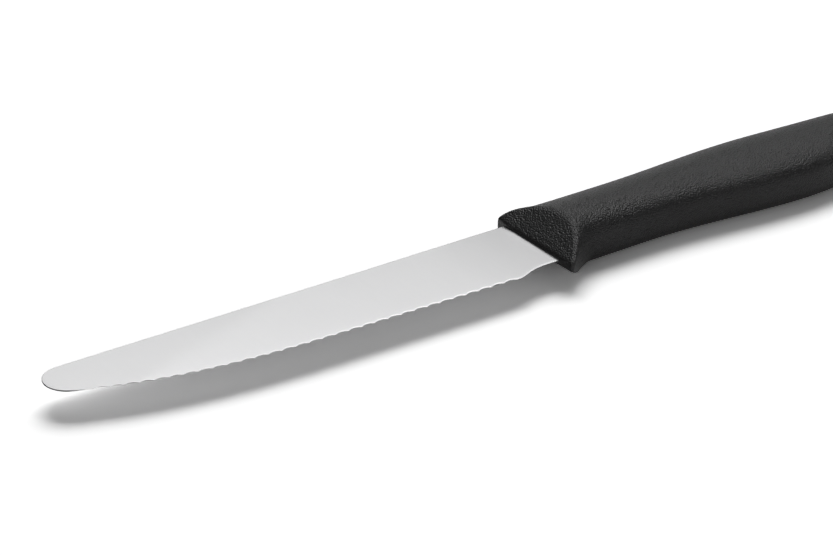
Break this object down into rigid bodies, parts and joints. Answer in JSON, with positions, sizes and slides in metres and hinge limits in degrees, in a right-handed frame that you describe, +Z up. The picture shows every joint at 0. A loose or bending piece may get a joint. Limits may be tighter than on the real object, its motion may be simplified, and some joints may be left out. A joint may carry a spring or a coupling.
{
  "type": "serrated table knife",
  "caption": "Table knife with a round-nosed, finely scalloped steel blade and a one-piece black plastic handle moulded around its tang.",
  "frame": {"origin": "under the middle of the knife, on the surface it lies on", "axes": "+X from the blade's nose towards the handle's butt, +Y from the cutting edge towards the spine, +Z up through the thickness"},
  "size_m": [0.2144, 0.0256, 0.0118],
  "materials": {
    "blade_steel": "satin ground",
    "handle_plastic": "fine moulded leather grain"
  },
  "bodies": {
    "root": {"blade": "blade_steel", "handle": "handle_plastic"}
  },
  "joints": []
}
